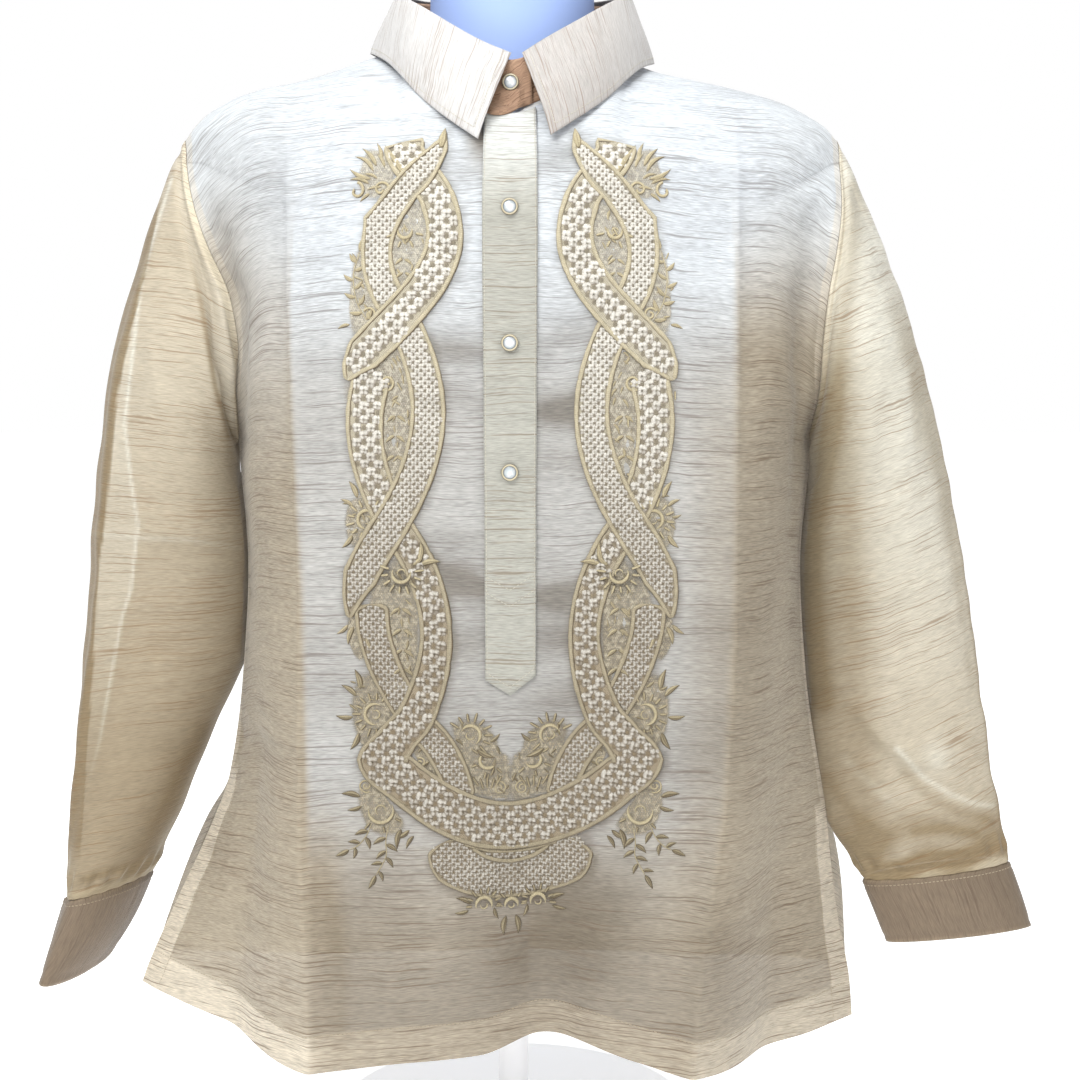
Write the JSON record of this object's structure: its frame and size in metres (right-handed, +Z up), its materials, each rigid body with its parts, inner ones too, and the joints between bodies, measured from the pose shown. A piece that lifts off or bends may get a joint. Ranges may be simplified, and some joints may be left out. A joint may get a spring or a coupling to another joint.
{
  "type": "barong tagalog shirt on a dress form",
  "caption": "Long-sleeved barong tagalog pullover shirt with half placket, pointed collar and embroidered front, on a limbless dress form with a round stand.",
  "frame": {"origin": "centre of the underside of the dress form's round base", "axes": "+Z up; the shirt's front faces -Y; +X is on the right of someone looking at the front"},
  "size_m": [0.771, 0.2944, 0.937],
  "materials": {
    "body_cloth": "sheer slubbed ecru cloth with a soft sheen",
    "sleeve_cloth": "the same sheer cloth, single layer",
    "cuff_cloth": "the same cloth sewn double over a dark lining",
    "collar_cloth": "interfaced cloth with dark slub threads",
    "stand_cloth": "matt brown shadowed cloth",
    "placket_cloth": "folded cloth, edge stitched",
    "pearl_button": "pearl white with a grey rim",
    "form_skin": "smooth pale blue",
    "stand_enamel": "white enamel"
  },
  "bodies": {
    "root": {"front_panel": "body_cloth", "back_panel": "body_cloth", "sleeve_left": "sleeve_cloth", "sleeve_right": "sleeve_cloth", "cuff_left": "cuff_cloth", "cuff_right": "cuff_cloth", "collar_stand": "stand_cloth", "collar_leaf": "collar_cloth", "placket": "placket_cloth", "button_1": "pearl_button", "button_2": "pearl_button", "button_3": "pearl_button", "button_4": "pearl_button", "cuff_button_left": "pearl_button", "cuff_button_right": "pearl_button", "form_torso": "form_skin", "form_pole": "stand_enamel", "form_base": "stand_enamel"}
  },
  "joints": []
}
